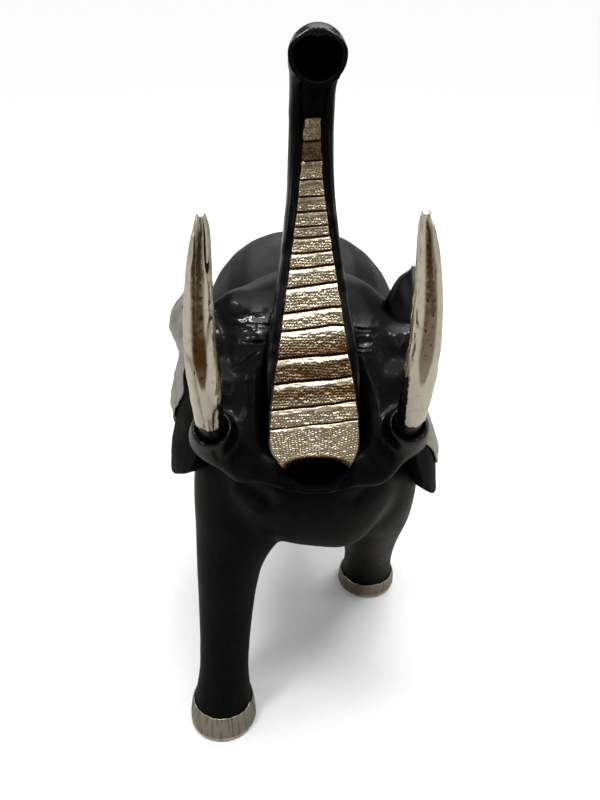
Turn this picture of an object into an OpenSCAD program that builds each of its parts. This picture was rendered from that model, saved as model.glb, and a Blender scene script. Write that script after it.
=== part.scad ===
// Carved elephant with a raised trunk: black lacquered wood with silver overlays.
// The elephant faces -Y and stands on z = 0. Its right side is at -X.
// The carved block is the body; the trunk, ears, tusks and tail are separate
// carvings let in with dowels or tenons, and the silver is thin sheet laid over them.

/* [Figure] */
// Height from the floor to the top of the raised trunk, mm
figure_h = 286; // [180:1:400]
// Facets around the torso and the head
torso_sides = 28; // [20:4:32]
// Facets around the legs, the trunk, the tusks and the tail
limb_sides = 18; // [12:2:20]

/* [Silver overlay] */
// Thickness of the silver sheet on the ears, the tusks and the feet, mm
sheet_t = 0.5; // [0.3:0.1:0.8]
// Thickness of the embossed strip on the trunk, mm
strip_t = 1.1; // [0.8:0.1:1.4]
// Height of the silver band round the leading forefoot, mm
lead_band_h = 12; // [7:0.5:13]
// Height of the silver bands round the other three feet, mm
band_h = 9; // [7:0.5:13]

/* [Joinery] */
// Radius of the tusk tenons and of the trunk dowel, mm
dowel_r = 3; // [2:0.25:3.5]
// Radius of the ear dowels and of the tail tenon, mm
pin_r = 1.25; // [1:0.25:1.5]
// Thickness of an ear at its root, mm
ear_t = 4.4; // [4:0.2:5]

/* [Hidden] */

design_h = 286;          // the station tables below are drawn at this height
k = figure_h / design_h; // and everything is scaled by this
shift = [1, -6.4, 0];    // centres the bounding box over the origin
spans = 3;               // rings interpolated between two stations
far = 300;               // longer than any side of the figure

wood = "#17171a";
bare_wood = "#b08a5a";
silver = "#cfc6b4";

right = -1; // the sign of x on the elephant's right side
left = 1;

// ---------- curves, rings and lofts ----------

// A point on the Catmull-Rom curve from p1 to p2, at t from 0 to 1
function spline(p0, p1, p2, p3, t) =
    0.5 * (2 * p1 + (p2 - p0) * t + (2 * p0 - 5 * p1 + 4 * p2 - p3) * t * t
    + (3 * p1 - p0 - 3 * p2 + p3) * t * t * t);

// A table of stations made smooth, with n steps between two of them
function fair(s, n = spans) = [
    for (i = [0 : len(s) - 2], j = [0 : n - 1])
        spline(s[max(i - 1, 0)], s[i], s[i + 1], s[min(i + 2, len(s) - 1)], j / n),
    s[len(s) - 1]];

function signed_pow(x, e) = sign(x) * pow(abs(x), e);

// One cross-section. A station is [x, y, z, pitch, half width, up, down, roundness]:
// the section lies across X and across a direction that pitch turns from +Z (0)
// to +Y (90). Roundness 1 is an ellipse and less is boxier.
function ring(s, sides) = [
    for (i = [0 : sides - 1])
        let (a = 360 * i / sides,
            w = signed_pow(sin(a), s[7]) * (sin(a) > 0 ? s[5] : s[6]))
        [s[0] + s[4] * signed_pow(cos(a), s[7]), s[1] + w * sin(s[3]), s[2] + w * cos(s[3])]];

// A closed solid through a list of rings. Rings advance along X cross the up direction.
module skin(rings) {
    n = len(rings[0]);
    m = len(rings);
    polyhedron(
        points = [for (r = rings, p = r) p],
        faces = concat(
            [for (j = [0 : m - 2], i = [0 : n - 1])
                let (a = j * n + i, b = j * n + (i + 1) % n) [a, a + n, b + n, b]],
            [[for (i = [0 : n - 1]) i]],
            [[for (i = [n - 1 : -1 : 0]) (m - 1) * n + i]]),
        convexity = 6);
}

module loft(stations, sides = limb_sides, n = spans)
    skin([for (s = fair(stations, n)) ring(s, sides)]);

// The union of several lofts as one closed mesh
module carved() resize([0, 0, 0]) union() children();

// Stations mirrored or kept, by the sign of the side. The carving leans a little to the right.
lean = -1.2;
function on_side(side, s) = [for (v = s) [side * v[0] + lean, for (i = [1 : len(v) - 1]) v[i]]];

// From the tables' own place and size to the figure's
module placed() scale(k) translate(shift) children();

// ---------- the carved block ----------

// [x, y, z, pitch, half width, up, down, roundness], from the rump to the chest
torso = [
    [0, 111, 130, 0, 6, 8, 8, 1],
    [0, 107, 130, 0, 20, 25, 24, 0.95],
    [0, 98, 130, 0, 34, 40, 36, 0.9],
    [0, 84, 129, 0, 43, 50, 44, 0.88],
    [0, 62, 129, 0, 48, 57, 49, 0.88],
    [0, 36, 128, 0, 49.5, 58, 51, 0.88],
    [0, 8, 127, 0, 48, 55, 49, 0.88],
    [0, -18, 125, 0, 46, 52, 43, 0.9],
    [0, -38, 123, 0, 41, 46, 36, 0.92],
    [0, -52, 120, 0, 31, 34, 28, 0.95],
    [0, -60, 118, 0, 18, 20, 17, 1],
    [0, -63, 117, 0, 6, 6, 6, 1]];

// From the nape to the muzzle
head = [
    [0, 3, 160, 0, 17, 19, 16, 1],
    [0, -5, 160, 0, 31, 32, 26, 0.95],
    [0, -19, 160, 0, 37.5, 37.5, 32, 0.85],
    [0, -33, 158.5, 0, 39.5, 36, 31, 0.8],
    [0, -47, 155.5, 0, 39, 29.5, 25, 0.8],
    [0, -58, 151, 0, 37.5, 21.5, 18, 0.82],
    [0, -67, 147, 0, 34, 13.5, 10.5, 0.85],
    [0, -73, 144, 0, 28, 7, 6, 0.9],
    [0, -78, 142.5, 0, 19, 3.5, 3.5, 1],
    [0, -81, 142, 0, 9, 1.2, 1.5, 1]];

// The cheek that holds a tusk, ending in the flat rim of its cup
cup = [33.8, -72, 161.5];   // centre of the rim on the left side
cup_pitch = 52;             // how far the rim's plane leans back
cup_r = 6.9;                // outer radius of the rim
cup_bore = 5.5;             // inner radius
cup_depth = 3;
cheek = [
    [26, -42, 138, 66, 9, 13, 10, 1],
    [31, -54, 145, 60, 11, 13, 10, 1],
    [33.8, -65, 153.5, 55, 9.2, 9.5, 8.8, 1],
    [cup[0], cup[1], cup[2], cup_pitch, cup_r, cup_r, cup_r, 1]];

brow = [
    [30, -12, 174, 20, 5, 8, 10, 1],
    [33.5, -25, 179, 20, 7.5, 8, 12, 1],
    [34.5, -38, 178, 20, 7.5, 8, 10, 1],
    [33.5, -49, 173.5, 20, 5.5, 6, 8, 1],
    [30, -58, 167, 20, 3, 4, 6, 1]];

lower_lip = [
    [0, -62, 142, 15, 24, 5, 6, 1],
    [0, -74, 141, 15, 17, 3.6, 4, 1],
    [0, -80.5, 141, 15, 13, 2.8, 3.2, 1],
    [0, -84.5, 141.8, 15, 8, 1.8, 2.2, 1],
    [0, -86, 142.4, 15, 3, 0.8, 1, 1]];

mouth = [
    [0, -68, 146, 5, 5, 1.5, 2, 1],
    [0, -72, 145.8, 5, 9, 3, 3.2, 0.9],
    [0, -79, 146, 5, 10.8, 4.5, 4.2, 0.9],
    [0, -86, 148, 5, 10.8, 6, 4.8, 0.9],
    [0, -94, 150.5, 5, 10.8, 6, 5, 0.9]];

// Legs, from the sole up: [x, y, z, pitch, half width, back, front, roundness]
leg_fore_right = [
    [-39, -59.6, 0, 90, 13.9, 13.6, 14.3, 1],
    [-39, -59.2, 6, 90, 13.7, 13.4, 14.1, 1],
    [-38.7, -58, 14, 90, 12.4, 12.2, 13, 1],
    [-37.8, -54.5, 28, 90, 10.8, 11, 11.2, 1],
    [-36.2, -47.5, 52, 90, 11.8, 12.5, 12, 1],
    [-34, -42, 74, 90, 14, 15.5, 15, 1],
    [-30.3, -38, 86, 90, 17.6, 18.5, 17.5, 1],
    [-26.3, -36, 95, 90, 21.5, 20.5, 19, 1],
    [-24, -33, 112, 90, 23.5, 22, 20, 1],
    [-22, -29, 135, 90, 22, 22, 20, 1],
    [-16, -26, 152, 90, 14, 16, 14, 1]];

leg_fore_left = [
    [34.8, 27, 0, 90, 14.2, 14, 14.8, 1],
    [34.8, 26.5, 6, 90, 14, 13.8, 14.6, 1],
    [34.7, 24, 14, 90, 12.7, 12.6, 13.4, 1],
    [34, 16, 29, 90, 12.4, 12, 12, 1],
    [32.3, 2, 52, 90, 13.4, 13.5, 15, 1],
    [31.2, -12, 74, 90, 15.3, 17, 16.5, 1],
    [28.3, -21, 90, 90, 18.5, 20, 18, 1],
    [25, -28, 112, 90, 21.5, 22, 20, 1],
    [22, -29, 135, 90, 22, 22, 20, 1],
    [16, -28, 152, 90, 14, 16, 14, 1]];

leg_hind_right = [
    [-31.5, 98, 0, 90, 14.2, 13.6, 14.6, 1],
    [-31.5, 97.5, 6, 90, 14, 13.4, 14.4, 1],
    [-31.5, 96.5, 14, 90, 12.8, 12.6, 13, 1],
    [-31.6, 94, 30, 90, 11.6, 12, 12.4, 1],
    [-31.4, 89.5, 52, 90, 13.4, 14, 16, 1],
    [-30.4, 83, 76, 90, 16.5, 19, 21, 1],
    [-28, 76, 106, 90, 20, 26, 26, 1],
    [-24, 72, 136, 90, 22, 29, 28, 1],
    [-18, 71, 158, 90, 13, 20, 19, 1]];

leg_hind_left = [
    [30, 75, 0, 90, 14.2, 13.6, 14.6, 1],
    [30, 74.5, 6, 90, 14, 13.4, 14.4, 1],
    [30, 74.5, 14, 90, 12.8, 12.6, 13, 1],
    [30.3, 75, 30, 90, 11.6, 12.4, 12, 1],
    [30.5, 76, 52, 90, 13.4, 15, 15, 1],
    [30, 75, 76, 90, 16.5, 20, 20, 1],
    [28, 74, 106, 90, 20, 27, 25, 1],
    [24, 73, 136, 90, 22, 29, 28, 1],
    [18, 71, 158, 90, 13, 20, 19, 1]];

// Directions square to a section of the given pitch
function ahead(pitch) = [0, -cos(pitch), sin(pitch)];

// A seat is [point, direction out of the block]
tusk_seat = [cup - cup_depth * ahead(cup_pitch), ahead(cup_pitch)];
tenon_l = 12;       // how far a tenon or dowel goes into the block
socket_mouth = 4;   // how far a socket is cut clear above the tail's seat
root_l = 2;         // how far a tenon starts inside its own tusk or tail

function mirrored(seat, side) = [[side * seat[0][0] + lean, seat[0][1], seat[0][2]],
    [side * seat[1][0], seat[1][1], seat[1][2]]];

// Turns a +Z child to lie along the seat's direction, at its point
module at(seat) {
    d = seat[1];
    translate(seat[0]) rotate([0, acos(d[2] / norm(d)), atan2(d[1], d[0])]) children();
}

// A round tenon, dowel or socket, from depth below the seat's face to height above it
module pin(seat, r, depth, height = 0)
    at(seat) translate([0, 0, -depth]) cylinder(r = r, h = depth + height, $fn = 32);

module block_mesh() carved() difference() {
    union() {
        loft(torso, torso_sides);
        loft(head, torso_sides);
        loft(lower_lip, n = 2);
        for (side = [right, left]) {
            loft(on_side(side, cheek), n = 2);
            loft(on_side(side, brow), n = 2);
        }
        loft(leg_fore_right, n = 2);
        loft(leg_fore_left, n = 2);
        loft(leg_hind_right, n = 2);
        loft(leg_hind_left, n = 2);
    }
    loft(mouth, n = 2);
    trunk_blank();
    for (side = [right, left]) {
        pin(mirrored(tusk_seat, side), cup_bore, 0, 3 * cup_depth);
        ear_blank(side);
    }
}

module body() color(wood) placed() difference() {
    block_mesh();
    for (side = [right, left]) pin(mirrored(tusk_seat, side), dowel_r, tenon_l);
    pin(trunk_seat, dowel_r, tenon_l);
    pin(tail_seat, pin_r, tenon_l, socket_mouth);
    for (side = [right, left]) ear_pins(side);
}

// ---------- the trunk ----------

// [y, z, pitch, half width, back, front, half width of the channel, depth of the channel],
// from the face to the tip. The channel runs along the front, between two ridges.
trunk_line = [
    [-60, 147, 100, 17.8, 15, 17, 11, 1.2],
    [-57.3, 156, 102, 18, 15, 16.3, 14.6, 1.2],
    [-54, 166.5, 104, 16.8, 15, 15.5, 13.9, 1.2],
    [-48.5, 181.7, 104, 15.2, 14, 14, 12.2, 1.2],
    [-43.3, 197.3, 103, 12.6, 12, 12, 9.8, 1.2],
    [-38.2, 213.1, 101, 10.2, 10, 10, 7.4, 1.2],
    [-35.5, 230.4, 94, 8.2, 8.5, 8.5, 5, 1.2],
    [-35.5, 247.6, 85, 7.3, 7.5, 7.5, 3.5, 1.2],
    [-39.3, 261.3, 62, 7.1, 7.2, 7, 2.9, 1.5],
    [-47.5, 271, 35, 7.2, 7.2, 6.8, 3, 2],
    [-59, 276.8, 14, 7.6, 7.6, 7, 3.2, 2.2],
    [-68, 278.3, 6, 8.1, 8.1, 7.6, 3.4, 2],
    [-71.5, 278.6, 4, 7.9, 7.8, 7.4, 3.2, 1.6]];
trunk_curve = fair(trunk_line);
trunk_seat = [[0, trunk_line[0][0], trunk_line[0][1]], ahead(trunk_line[0][2])];
trunk_foot_l = 12;       // how far the dowel goes up into the trunk
strip_top = 23;          // the station on the curve where the strip ends
ridge_w = 2.4;

// A point of a trunk section, from its own across and back directions
function on_section(s, across, back) =
    [across, s[0] + back * sin(s[2]), s[1] + back * cos(s[2])];

function trunk_ring(s) =
    let (a = s[3], b = s[4], f = s[5], c = s[6], floor_w = s[7] - f,
        lip = c + min(ridge_w, a - c),
        front = [[a, -0.45 * f], [(a + lip) / 2, -0.85 * f], [lip - 0.6, -f],
            [c + 0.5, -f], [c, floor_w]])
    concat(
        [for (t = [0 : 15 : 180]) on_section(s, a * cos(t), b * sin(t))],
        [for (p = front) on_section(s, -p[0], p[1])],
        [on_section(s, 0, floor_w - 0.04 * c)],
        [for (i = [len(front) - 1 : -1 : 0]) on_section(s, front[i][0], front[i][1])]);

module trunk_blank() skin([for (s = trunk_curve) trunk_ring(s)]);

// The hollow end of the trunk, with the finger left standing over it
nostril = [
    [0, -62, 277.4, 10, 2, 2, 2, 1],
    [0, -65, 277.8, 7, 5, 5, 5, 1],
    [0, -70, 278.2, 5, 6.4, 6.2, 6, 1],
    [0, -76, 278.6, 4, 6.8, 6.4, 6.2, 1]];

module trunk() color(wood) placed() difference() {
    carved() difference() {
        trunk_blank();
        loft(nostril);
    }
    pin(trunk_seat, dowel_r, 0, trunk_foot_l);
}

module trunk_dowel() color(bare_wood) placed() pin(trunk_seat, dowel_r, tenon_l, trunk_foot_l);

// Across the embossed strip: it is crowned, and every second station stands proud
strip_gap = 0.2;   // to the ridges on either side
strip_step = 0.65; // the low stations' thickness as a share of the proud ones'
crown = [0.1, -0.25];
function strip_ring(s, i) =
    let (c = s[6] - strip_gap, back = s[7] - s[5] + ridge_w / 4,
        face = s[7] - s[5] - strip_t * (i % 2 == 0 ? 1 : strip_step))
    [for (p = [[c, back], [-c, back], [-c, face - crown[1]],
        [-c / 2, face - crown[0]], [c / 2, face - crown[0]], [c, face - crown[1]]])
        on_section(s, p[0], p[1])];

module trunk_strip() color(silver) placed() carved() difference() {
    skin([for (i = [1 : strip_top]) strip_ring(trunk_curve[i], i)]);
    trunk_blank();
}

// ---------- tusks ----------

tusk_line = [
    [tusk_seat[0][0], tusk_seat[0][1], tusk_seat[0][2], cup_pitch, 4.4, 4.4, 4.4, 1],
    [33.5, -75.6, 166, 55, 4.8, 4.8, 4.8, 1],
    [33.2, -86, 184.5, 61, 5.1, 5.1, 5.1, 1],
    [32.9, -94.5, 207, 68, 4.7, 4.7, 4.7, 1],
    [31, -101, 229, 72, 3.5, 3.5, 3.5, 1],
    [29.2, -104.4, 242, 74, 2, 2, 2, 1],
    [28.9, -105.2, 245.5, 74, 0.8, 0.8, 0.8, 1]];
tusk_sides = 14;
tip_lean = -1.2;                      // how much further a tusk's tip leans than its root
silver_start = [33.5, -76.4, 167.4];  // where the silver begins on a tusk
silver_lean = 20;                     // and how far its edge leans, from square to the tusk

function grown(s, t) = [for (v = s) [v[0], v[1], v[2], v[3], v[4] + t, v[5] + t, v[6] + t, v[7]]];

// A tusk's stations, with t of sheet on it
function tusk_stations(side, t = 0) =
    let (s = on_side(side, grown(tusk_line, t)), n = len(s) - 1)
    [for (i = [0 : n]) let (v = s[i], past = i == n ? t : 0)
        [v[0] + tip_lean * i / n, v[1] + past * ahead(v[3])[1], v[2] + past * ahead(v[3])[2],
        v[3], v[4], v[5], v[6], v[7]]];

module tusk(side) color(wood) placed() {
    carved() loft(tusk_stations(side), tusk_sides);
    pin(mirrored(tusk_seat, side), dowel_r, tenon_l, root_l);
}

module tusk_silver(side) color(silver) placed() carved() difference() {
    loft(tusk_stations(side, sheet_t), tusk_sides);
    loft(tusk_stations(side), tusk_sides);
    translate([side * silver_start[0] + lean, silver_start[1], silver_start[2]])
        rotate([90 - cup_pitch - silver_lean, 0, 0])
            translate([-far / 2, -far / 2, -far]) cube(far);
}

// ---------- ears ----------

// Rows from the top edge to the tip of the lower lobe, each from the head to the rim
ear_rows = [
    [[30, -26, 188], [37, -18, 195], [44, -10, 196], [48.5, -1, 192], [48.5, 7, 184]],
    [[33, -31, 180], [42, -22, 185], [48, -11, 184], [50.5, 2, 179], [50, 14, 173]],
    [[35, -35, 168], [44, -27, 170], [51, -15, 169], [54.5, 0, 166], [54, 17, 161]],
    [[36, -38, 156], [45, -31, 157], [51, -19, 154], [52, -4, 151], [50.5, 13, 148]],
    [[38, -41, 144], [46, -34.5, 142], [52, -24, 138], [55.5, -10, 134], [55, 5, 132]],
    [[41, -46, 131], [47, -40.5, 127], [52, -32, 122], [55.5, -21, 117], [55.5, -10, 116]],
    [[44.5, -49, 118], [49, -44.5, 112], [52.5, -38, 106], [55, -31, 101], [56, -24, 101]]];
ear_spans = 3;              // grid lines to each interval of the table
rim_share = 0.55;           // the rim's thickness as a share of the root's
ear_pin_rows = [6, 11];     // grid rows that a dowel goes in along
ear_pin_l = 6;              // how far a dowel goes into the ear, and into the head
panel_rows = [1, 16];       // grid lines that bound the silver panel
panel_cols = [4, 11];

function transpose(m) = [for (i = [0 : len(m[0]) - 1]) [for (r = m) r[i]]];

// The two ears are not quite a pair: each is [spread, length] against the table
ear_top = 196;
function ear_scale(side) = side == right ? [1, 0.9] : [0.965, 1.01];
function ear_grid(side) = transpose([for (c = transpose([for (r = ear_rows) fair(r, ear_spans)]))
    [for (p = fair(c, ear_spans)) [side * p[0] * ear_scale(side)[0], p[1],
        ear_top - (ear_top - p[2]) * ear_scale(side)[1]]]]);

function unit(v) = v / norm(v);

// The unit normal of a grid at row j and column i
function grid_normal(g, j, i) =
    let (m = len(g) - 1, n = len(g[0]) - 1,
        along_row = g[j][min(i + 1, n)] - g[j][max(i - 1, 0)],
        down = g[min(j + 1, m)][i] - g[max(j - 1, 0)][i])
    unit(cross(along_row, down));

// An ear's face, moved out to the side by half its thickness times share, and by more
function ear_face(side, share, more = 0) =
    let (g = ear_grid(side), m = len(g[0]) - 1)
    [for (j = [0 : len(g) - 1]) [for (i = [0 : m])
        let (t = ear_t / 2 * (1 - (1 - rim_share) * i / m))
        g[j][i] - side * (share * t + more) * grid_normal(g, j, i)]];

function window(g, rows, cols) =
    [for (j = [rows[0] : rows[1]]) [for (i = [cols[0] : cols[1]]) g[j][i]]];

// A slab between two grids of the same size, outer being on the side that is given
module slab(side, outer, inner) {
    m = len(outer);
    n = len(outer[0]);
    half = m * n;
    function id(j, i) = j * n + i;
    // Triangles turned over on the left, where the grid is a mirror image
    function face(a, b, c) = side == left ? [a, c, b] : [a, b, c];
    edge = concat([for (i = [0 : n - 2]) id(0, i)], [for (j = [0 : m - 2]) id(j, n - 1)],
        [for (i = [n - 1 : -1 : 1]) id(m - 1, i)], [for (j = [m - 1 : -1 : 1]) id(j, 0)]);
    polyhedron(
        points = concat([for (r = outer, p = r) p], [for (r = inner, p = r) p]),
        faces = concat(
            [for (j = [0 : m - 2], i = [0 : n - 2]) each
                [face(id(j, i), id(j + 1, i + 1), id(j, i + 1)),
                face(id(j, i), id(j + 1, i), id(j + 1, i + 1))]],
            [for (j = [0 : m - 2], i = [0 : n - 2]) each
                [face(half + id(j, i), half + id(j, i + 1), half + id(j + 1, i + 1)),
                face(half + id(j, i), half + id(j + 1, i + 1), half + id(j + 1, i))]],
            [for (e = [0 : len(edge) - 1]) let (a = edge[e], b = edge[(e + 1) % len(edge)]) each
                [face(a, b, half + a), face(b, half + b, half + a)]]),
        convexity = 6);
}

module ear_blank(side) slab(side, ear_face(side, 1), ear_face(side, -1));

module ear_pins(side) {
    g = ear_grid(side);
    for (j = ear_pin_rows)
        pin([g[j][0], unit(g[j][ear_spans] - g[j][0])], pin_r, ear_pin_l, ear_pin_l);
}

module ear(side) color(wood) placed() difference() {
    ear_blank(side);
    ear_pins(side);
}

module ear_dowels(side) color(bare_wood) placed() ear_pins(side);

module ear_silver(side) color(silver) placed()
    slab(side, window(ear_face(side, 1, sheet_t), panel_rows, panel_cols),
        window(ear_face(side, 1), panel_rows, panel_cols));

// ---------- feet and tail ----------

band_foot = 0.3; // how far a band stays off the floor

module band(leg, h) color(silver) placed() carved() difference() {
    intersection() {
        loft(grown(leg, sheet_t), n = 2);
        translate([-far / 2, -far / 2, band_foot]) cube([far, far, h]);
    }
    loft(leg, n = 2);
}

tail_seat = [[0, 105.5, 156], [0, cos(30), sin(30)]];
tail_line = [
    [9, 114, 84, 90, 0.8, 0.8, 0.8, 1],
    [9.5, 114.5, 90, 90, 2.8, 2.8, 2.8, 1],
    [9.5, 115, 98, 90, 3, 3, 3, 1],
    [9, 116, 106, 90, 2, 2, 2, 1],
    [7, 117, 124, 90, 2.4, 2.4, 2.4, 1],
    [4, 116, 141, 80, 2.9, 2.9, 2.9, 1],
    [1, 111, 152, 50, 3.3, 3.3, 3.3, 1],
    [0, 104, 155, 20, 3.5, 3.5, 3.5, 1]];

module tail() color(wood) placed() {
    carved() difference() {
        loft(tail_line, 12, 2);
        loft(torso, torso_sides);
    }
    pin(tail_seat, pin_r, tenon_l, root_l);
}

body();
trunk();
trunk_dowel();
trunk_strip();
tusk(right);  // tusk_right
tusk(left);  // tusk_left
tusk_silver(right);  // tusk_silver_right
tusk_silver(left);  // tusk_silver_left
ear(right);  // ear_right
ear(left);  // ear_left
ear_silver(right);  // ear_silver_right
ear_silver(left);  // ear_silver_left
ear_dowels(right);  // ear_dowels_right
ear_dowels(left);  // ear_dowels_left
band(leg_fore_right, lead_band_h);  // band_fore_right
band(leg_fore_left, band_h);  // band_fore_left
band(leg_hind_right, band_h);  // band_hind_right
band(leg_hind_left, band_h);  // band_hind_left
tail();
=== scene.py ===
"""A carved elephant in black lacquered wood with silver overlays: its looks, built around the CAD frame.

The elephant faces -Y and its right side is at -X. Shapes are worked out in millimetres and put into
Blender in metres. Smooth parts are copies of the CAD solids, remeshed and carved finer. The trunk, the
tusks and the silver are lofted again through cross-sections of the CAD solids."""

import math

import bmesh
import bpy
import numpy as np
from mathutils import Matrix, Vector


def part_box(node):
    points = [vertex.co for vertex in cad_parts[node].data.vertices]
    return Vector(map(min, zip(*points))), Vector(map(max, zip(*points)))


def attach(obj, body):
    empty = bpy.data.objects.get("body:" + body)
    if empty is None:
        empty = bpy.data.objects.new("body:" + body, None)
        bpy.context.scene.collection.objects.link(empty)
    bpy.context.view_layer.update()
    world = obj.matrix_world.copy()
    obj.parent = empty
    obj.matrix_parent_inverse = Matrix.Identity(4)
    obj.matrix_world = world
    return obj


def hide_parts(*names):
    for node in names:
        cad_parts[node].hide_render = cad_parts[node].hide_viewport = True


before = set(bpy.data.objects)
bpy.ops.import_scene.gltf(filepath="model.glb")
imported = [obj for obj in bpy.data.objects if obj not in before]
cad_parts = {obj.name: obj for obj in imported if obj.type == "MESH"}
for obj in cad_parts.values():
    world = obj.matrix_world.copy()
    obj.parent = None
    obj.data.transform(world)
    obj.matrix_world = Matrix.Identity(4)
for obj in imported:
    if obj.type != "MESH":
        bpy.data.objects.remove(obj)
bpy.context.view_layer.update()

MM = 0.001
RIGHT, LEFT = -1, 1
SIDE_NAMES = {RIGHT: "right", LEFT: "left"}
UP = np.array([0.0, 0.0, 1.0])
ACROSS = np.array([1.0, 0.0, 0.0])
MIDDLE_X = 1.0  # the middle of the face, in mm, a little to the elephant's left


# ---------- noise, distances and smoothing ----------


def ripple(co, size, seed=0):
    """Smooth noise from -1 to 1 at the points co, with lumps of about the given size (a number or three)."""
    p = co / np.asarray(size, float) + 1000.0
    cell = np.floor(p).astype(np.int64)
    f = p - cell
    f = f * f * (3 - 2 * f)
    total = np.zeros(len(co))
    for corner in range(8):
        step = np.array([corner & 1, corner >> 1 & 1, corner >> 2])
        i = cell + step
        h = i[:, 0] * 73856093 ^ i[:, 1] * 19349663 ^ i[:, 2] * 83492791 ^ (seed + 7) * 2654435761
        h = (h ^ h >> 13) * 1274126177 & 0x7FFFFFFF
        h = (h ^ h >> 15) * 2246822519 & 0x7FFFFFFF
        total += (h / 0x3FFFFFFF - 1) * np.where(step, f, 1 - f).prod(axis=1)
    return total


def rough(co, size, seed=0, octaves=3):
    """Several octaves of ripple, each half as strong and as large as the one before."""
    size = np.asarray(size, float)
    return sum(ripple(co, size / 2**i, seed + i) / 2**i for i in range(octaves))


def ease(x, low, high):
    """From 0 at low to 1 at high, starting and ending gently. fall goes from 1 to 0."""
    t = np.clip((x - low) / (high - low), 0, 1)
    return t * t * (3 - 2 * t)


def fall(x, low, high):
    return 1 - ease(x, low, high)


def hump(distance, width):
    return np.exp(-((distance / width) ** 2))


def length(v):
    return np.linalg.norm(v, axis=-1)


def unit(v):
    return v / length(v)[..., None]


def mid(values):
    """Halfway between the lowest and the highest."""
    return (values.min() + values.max()) / 2


def along(co, path):
    """Each point's distance to a polyline, and how far along it the nearest place is, from 0 to 1."""
    path = np.asarray(path, float)
    reach = np.concatenate([[0], np.cumsum(length(np.diff(path, axis=0)))])
    best = np.full(len(co), 1e9)
    where = np.zeros(len(co))
    for i in range(len(path) - 1):
        step = path[i + 1] - path[i]
        t = np.clip((co - path[i]) @ step / (step @ step), 0, 1)
        d = length(co - path[i] - t[:, None] * step)
        closer = d < best
        best[closer] = d[closer]
        where[closer] = (reach[i] + t[closer] * (reach[i + 1] - reach[i])) / reach[-1]
    return best, where


def curve(points, n):
    """n points on the Catmull-Rom curve through the given ones."""
    p = np.asarray(points, float)
    p = np.vstack([2 * p[0] - p[1], p, 2 * p[-1] - p[-2]])
    u = np.linspace(0, len(p) - 3, n)
    i = np.minimum(u.astype(int), len(p) - 4)
    t = (u - i)[:, None]
    a, b, c, d = p[i], p[i + 1], p[i + 2], p[i + 3]
    return 0.5 * (2 * b + (c - a) * t + (2 * a - 5 * b + 4 * c - d) * t**2 + (3 * b - a - 3 * c + d) * t**3)


def blur(rows, sigma):
    """A table smoothed along its first axis, with its ends held."""
    reach = int(3 * sigma + 1)
    kernel = np.exp(-0.5 * (np.arange(-reach, reach + 1) / sigma) ** 2)
    kernel /= kernel.sum()
    flat = rows.reshape(len(rows), -1)
    low = 2 * flat[0] - flat[reach:0:-1]
    high = 2 * flat[-1] - flat[-2 : -reach - 2 : -1]
    padded = np.vstack([low, flat, high])
    out = np.stack([np.convolve(padded[:, j], kernel, "valid") for j in range(flat.shape[1])], axis=1)
    return out.reshape(rows.shape)


def soften(co, edges, rounds, weight=1.0):
    """Moves points towards the middle of their neighbours, by up to a half in each round."""
    a, b = edges.T
    n = len(co)
    count = (np.bincount(a, minlength=n) + np.bincount(b, minlength=n))[:, None]
    share = 0.5 * (weight[:, None] if isinstance(weight, np.ndarray) else weight)
    for _ in range(rounds):
        total = np.stack(
            [np.bincount(a, co[b, i], n) + np.bincount(b, co[a, i], n) for i in range(3)], axis=1
        )
        co = co + share * (total / count - co)
    return co


def fair(co, edges, rounds, weight=1.0):
    """Softens without shrinking: what one softening takes off round shapes is put back."""
    once = soften(co, edges, rounds, weight)
    twice = soften(once, edges, rounds, weight)
    return 2 * once - twice


# ---------- meshes ----------


def read(obj):
    """A mesh's points in millimetres, and its edges."""
    mesh = obj.data
    co = np.empty(len(mesh.vertices) * 3)
    mesh.vertices.foreach_get("co", co)
    edges = np.empty(len(mesh.edges) * 2, int)
    mesh.edges.foreach_get("vertices", edges)
    return co.reshape(-1, 3) / MM, edges.reshape(-1, 2)


def write(obj, co):
    obj.data.vertices.foreach_set("co", (co * MM).ravel())
    obj.data.update()


def normals(obj):
    out = np.empty(len(obj.data.vertices) * 3, np.float32)
    obj.data.vertex_normals.foreach_get("vector", out)
    return out.reshape(-1, 3).astype(float)


def paint(obj, name, values):
    """Stores a number for each point, which a material reads by that name."""
    attribute = obj.data.attributes.new(name, "FLOAT", "POINT")
    attribute.data.foreach_set("value", np.clip(values, 0, 1).astype(np.float32))


def new_object(name, data):
    obj = bpy.data.objects.new(name, data)
    bpy.context.scene.collection.objects.link(obj)
    return obj


def object_of(bm, name):
    mesh = bpy.data.meshes.new(name)
    bm.to_mesh(mesh)
    bm.free()
    return new_object(name, mesh)


def applied(obj):
    """Replaces an object's mesh by what its modifiers make of it."""
    bpy.context.view_layer.update()
    graph = bpy.context.evaluated_depsgraph_get()
    made = bpy.data.meshes.new_from_object(obj.evaluated_get(graph))
    obj.modifiers.clear()
    obj.data = made


def halved(bm, point, direction, **options):
    """Cuts a bmesh with a plane, given in metres."""
    everything = bm.verts[:] + bm.edges[:] + bm.faces[:]
    return bmesh.ops.bisect_plane(bm, geom=everything, plane_co=point, plane_no=direction, **options)


def joined(name, nodes, clips=()):
    """One object from copies of CAD nodes. Each clip is (node, point, direction kept)."""
    bm = bmesh.new()
    for node in nodes:
        bm.from_mesh(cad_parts[node].data)
    for node, point, keep in clips:
        part = bmesh.new()
        part.from_mesh(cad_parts[node].data)
        cut = halved(part, Vector(point) * MM, keep, clear_inner=True)
        rim = [g for g in cut["geom_cut"] if isinstance(g, bmesh.types.BMEdge)]
        bmesh.ops.triangle_fill(part, use_beauty=True, edges=rim)
        spare = bpy.data.meshes.new("clip")
        part.to_mesh(spare)
        bm.from_mesh(spare)
        part.free()
    return object_of(bm, name)


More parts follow.
